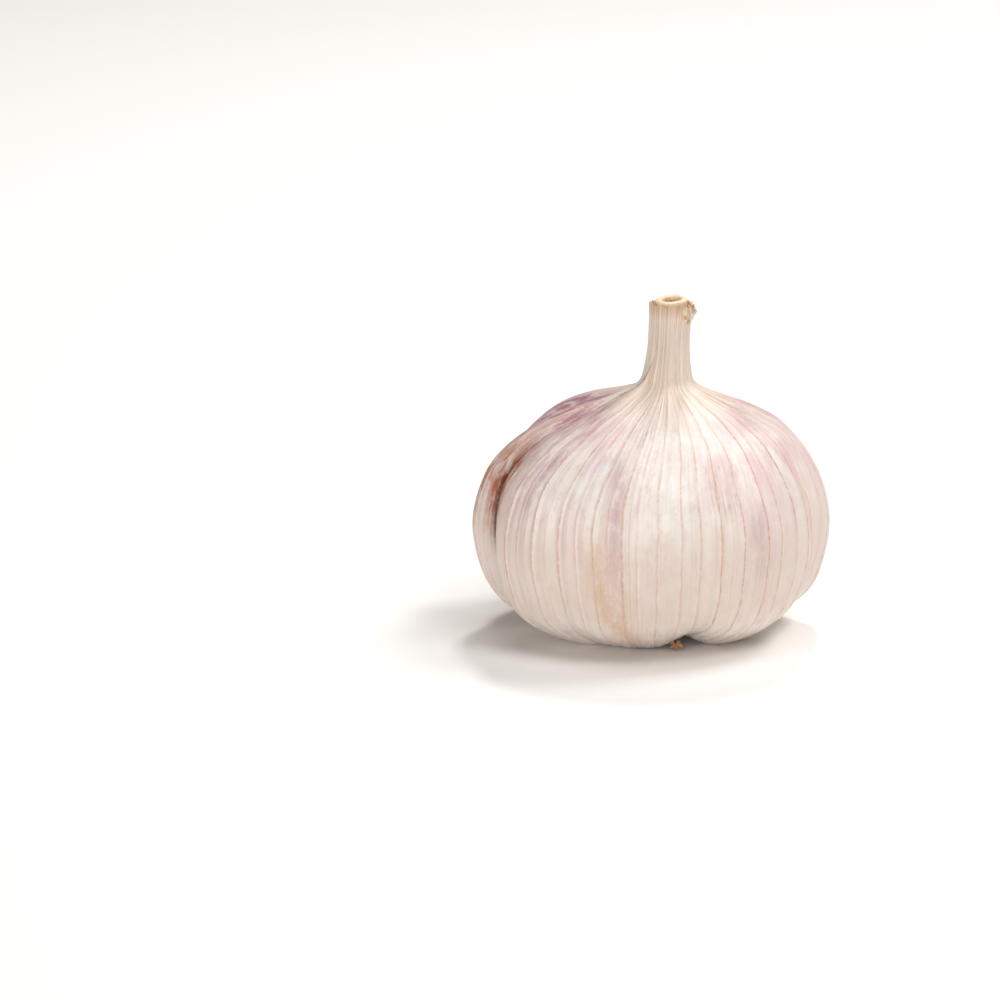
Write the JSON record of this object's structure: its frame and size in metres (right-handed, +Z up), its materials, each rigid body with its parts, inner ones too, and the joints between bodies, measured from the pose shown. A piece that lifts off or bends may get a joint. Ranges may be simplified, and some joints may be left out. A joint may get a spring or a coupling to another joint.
{
  "type": "garlic bulb",
  "caption": "Whole garlic bulb in its papery veined skin, standing on its cloves, with a dry cut neck and a trimmed root plate.",
  "frame": {"origin": "on the surface that the bulb stands on, under the middle of the box around it", "axes": "+Z up towards the neck, -Y towards the front, +X to the right as seen from the front"},
  "size_m": [0.0578, 0.0566, 0.0549],
  "materials": {
    "skin": "dry papery skin, satin, ivory with mauve veins",
    "stalk": "dry fibrous stem, matt straw",
    "cork": "corky root plate, matt tan"
  },
  "bodies": {
    "root": {"bulb": "skin", "flower_stalk": "stalk", "root_plate": "cork"}
  },
  "joints": []
}
